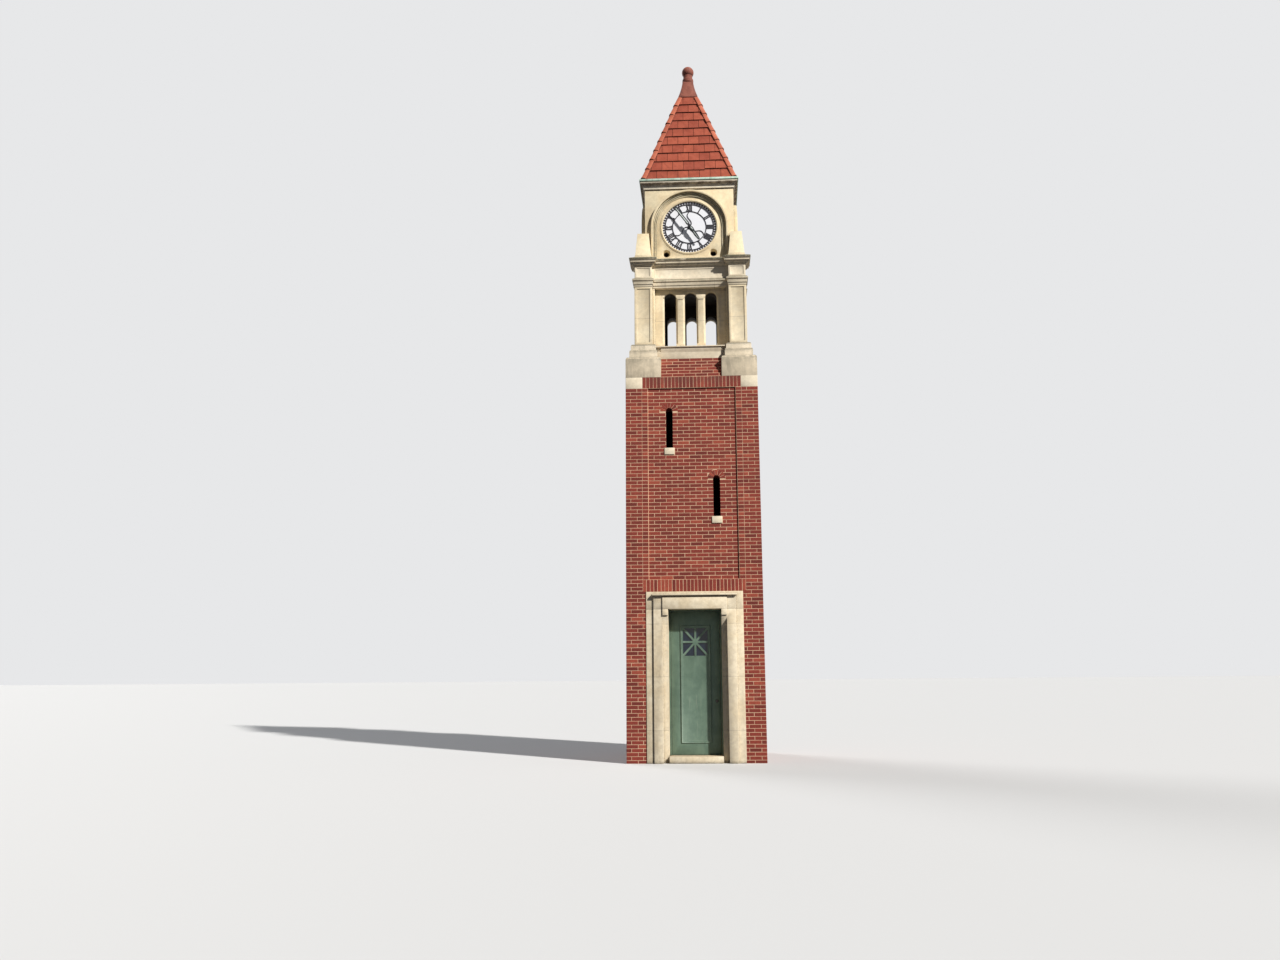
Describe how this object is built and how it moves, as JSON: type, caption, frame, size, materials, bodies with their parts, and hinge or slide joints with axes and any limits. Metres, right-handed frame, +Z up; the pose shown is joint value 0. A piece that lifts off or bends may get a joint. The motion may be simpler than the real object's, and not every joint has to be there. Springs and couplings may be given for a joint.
{
  "type": "clock tower",
  "caption": "Square brick clock tower with stone trim, an open arcaded belfry, a dial on each side, a steep tiled roof with a ball finial, and an entrance door that swings inward.",
  "frame": {"origin": "middle of the square base, on the ground", "axes": "+Z up, the entrance side faces -Y, +X to the right when facing the entrance"},
  "size_m": [2.44, 2.535, 13.97],
  "materials": {
    "brick": "matte",
    "stone": "matte",
    "floor": "matte",
    "door_wood": "satin",
    "door_metal": "satin",
    "door_glass": "polished",
    "dial_glass": "gloss",
    "dial_metal": "satin",
    "hand_metal": "satin",
    "copper": "matte",
    "roof_tile": "matte",
    "terracotta": "matte"
  },
  "bodies": {
    "tower": {"floor_slab": "floor", "door_sill": "stone", "front_wall_left": "brick", "front_wall_right": "brick", "front_wall_upper": "brick", "back_wall": "brick", "left_wall": "brick", "right_wall": "brick", "door_jamb_left": "stone", "door_jamb_right": "stone", "door_lintel": "stone", "door_frame": "door_wood", "door_hinges": "door_metal", "slit_sills": "stone", "corner_stones": "stone", "stepped_courses": "brick", "pier_plinths": "stone", "belfry_band": "stone", "belfry_floor": "floor", "belfry_piers": "stone", "front_arcade": "stone", "right_arcade": "stone", "back_arcade": "stone", "left_arcade": "stone", "architrave": "stone", "frieze": "stone", "main_cornice": "stone", "clock_floor": "floor", "corner_dies": "stone", "clock_wall_front": "stone", "clock_wall_right": "stone", "clock_wall_back": "stone", "clock_wall_left": "stone", "dial_hoods": "stone", "dial_glass": "dial_glass", "dial_frames": "dial_metal", "eaves_cornice": "stone", "roof_flashing": "copper", "roof_front": "roof_tile", "roof_right": "roof_tile", "roof_back": "roof_tile", "roof_left": "roof_tile", "hip_tiles": "roof_tile", "finial_cap": "terracotta", "finial_ball": "terracotta"},
    "entrance_door": {"door_leaf": "door_wood", "door_glass": "door_glass", "door_knob": "door_metal"},
    "front_minute_hand": {"front_minute_hand": "hand_metal"},
    "front_hour_hand": {"front_hour_hand": "hand_metal"},
    "right_minute_hand": {"right_minute_hand": "hand_metal"},
    "right_hour_hand": {"right_hour_hand": "hand_metal"},
    "back_minute_hand": {"back_minute_hand": "hand_metal"},
    "back_hour_hand": {"back_hour_hand": "hand_metal"},
    "left_minute_hand": {"left_minute_hand": "hand_metal"},
    "left_hour_hand": {"left_hour_hand": "hand_metal"}
  },
  "joints": [
    {"name": "door_swing", "type": "hinge", "parent": "tower", "child": "entrance_door", "pos_m": [-0.4425, -0.879, 1.38], "axis": [0, 0, 1], "range_deg": [0, 100]},
    {"name": "front_minute_turn", "type": "hinge", "parent": "tower", "child": "front_minute_hand", "pos_m": [0, -0.952, 10.045], "axis": [0, 1, 0], "continuous": true},
    {"name": "right_minute_turn", "type": "hinge", "parent": "tower", "child": "right_minute_hand", "pos_m": [0.952, 0, 10.045], "axis": [-1, 0, 0], "continuous": true},
    {"name": "back_minute_turn", "type": "hinge", "parent": "tower", "child": "back_minute_hand", "pos_m": [0, 0.952, 10.045], "axis": [0, -1, 0], "continuous": true},
    {"name": "left_minute_turn", "type": "hinge", "parent": "tower", "child": "left_minute_hand", "pos_m": [-0.952, 0, 10.045], "axis": [1, 0, 0], "continuous": true},
    {"name": "front_hour_turn", "type": "hinge", "parent": "tower", "child": "front_hour_hand", "pos_m": [0, -0.93, 10.045], "axis": [0, 1, 0], "continuous": true},
    {"name": "right_hour_turn", "type": "hinge", "parent": "tower", "child": "right_hour_hand", "pos_m": [0.93, 0, 10.045], "axis": [-1, 0, 0], "continuous": true},
    {"name": "back_hour_turn", "type": "hinge", "parent": "tower", "child": "back_hour_hand", "pos_m": [0, 0.93, 10.045], "axis": [0, -1, 0], "continuous": true},
    {"name": "left_hour_turn", "type": "hinge", "parent": "tower", "child": "left_hour_hand", "pos_m": [-0.93, 0, 10.045], "axis": [1, 0, 0], "continuous": true}
  ],
  "couplings": [
    {"joint": "right_minute_turn", "follows": "front_minute_turn", "ratio": 1},
    {"joint": "back_minute_turn", "follows": "front_minute_turn", "ratio": 1},
    {"joint": "left_minute_turn", "follows": "front_minute_turn", "ratio": 1},
    {"joint": "front_hour_turn", "follows": "front_minute_turn", "ratio": 0.083333},
    {"joint": "right_hour_turn", "follows": "front_minute_turn", "ratio": 0.083333},
    {"joint": "back_hour_turn", "follows": "front_minute_turn", "ratio": 0.083333},
    {"joint": "left_hour_turn", "follows": "front_minute_turn", "ratio": 0.083333}
  ]
}
